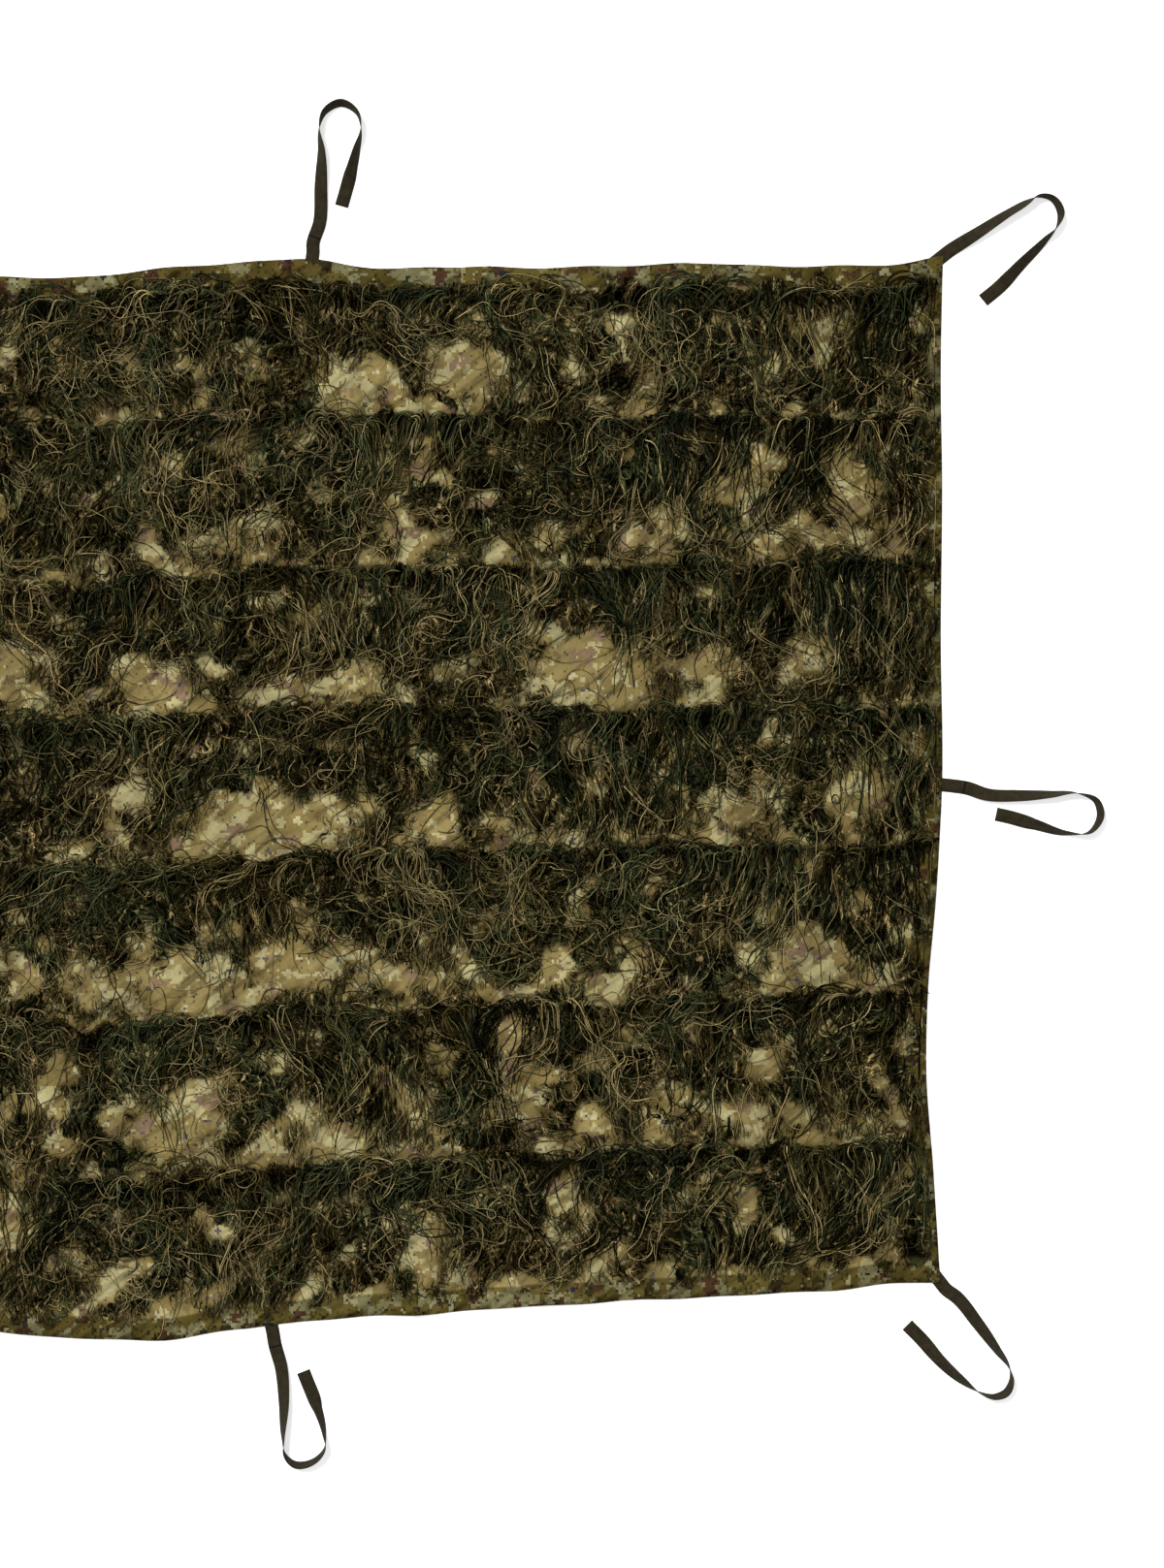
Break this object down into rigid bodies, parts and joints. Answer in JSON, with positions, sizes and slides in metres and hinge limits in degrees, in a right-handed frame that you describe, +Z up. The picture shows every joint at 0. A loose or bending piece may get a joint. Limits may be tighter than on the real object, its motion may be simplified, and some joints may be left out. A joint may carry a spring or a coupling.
{
  "type": "camouflage net",
  "caption": "Hemmed camouflage cloth covered in rows of hanging yarn, with webbing ties at its corners and the middle of each side, lying flat.",
  "frame": {"origin": "on the underside of the cloth, at the middle of the net", "axes": "+X along the net's long side, +Y towards the edge that the yarn rows hang from, +Z up, away from the surface it lies on"},
  "size_m": [2.3768, 2.0007, 0.0265],
  "materials": {
    "printed_cloth": "thin matt woven cloth, printed with a small pixelled pattern in olive, sage, tan and brown",
    "yarn": "matt fibrous yarn in mixed dark greens, olive brown and tan",
    "webbing": "close dark brown woven tape with a faint sheen"
  },
  "bodies": {
    "root": {"cover_cloth": "printed_cloth", "yarn_row_1": "yarn", "yarn_row_2": "yarn", "yarn_row_3": "yarn", "yarn_row_4": "yarn", "yarn_row_5": "yarn", "yarn_row_6": "yarn", "yarn_row_7": "yarn", "tie_top": "webbing", "tie_top_right": "webbing", "tie_right": "webbing", "tie_bottom_right": "webbing", "tie_bottom": "webbing", "tie_top_left": "webbing", "tie_left": "webbing", "tie_bottom_left": "webbing"}
  },
  "joints": []
}
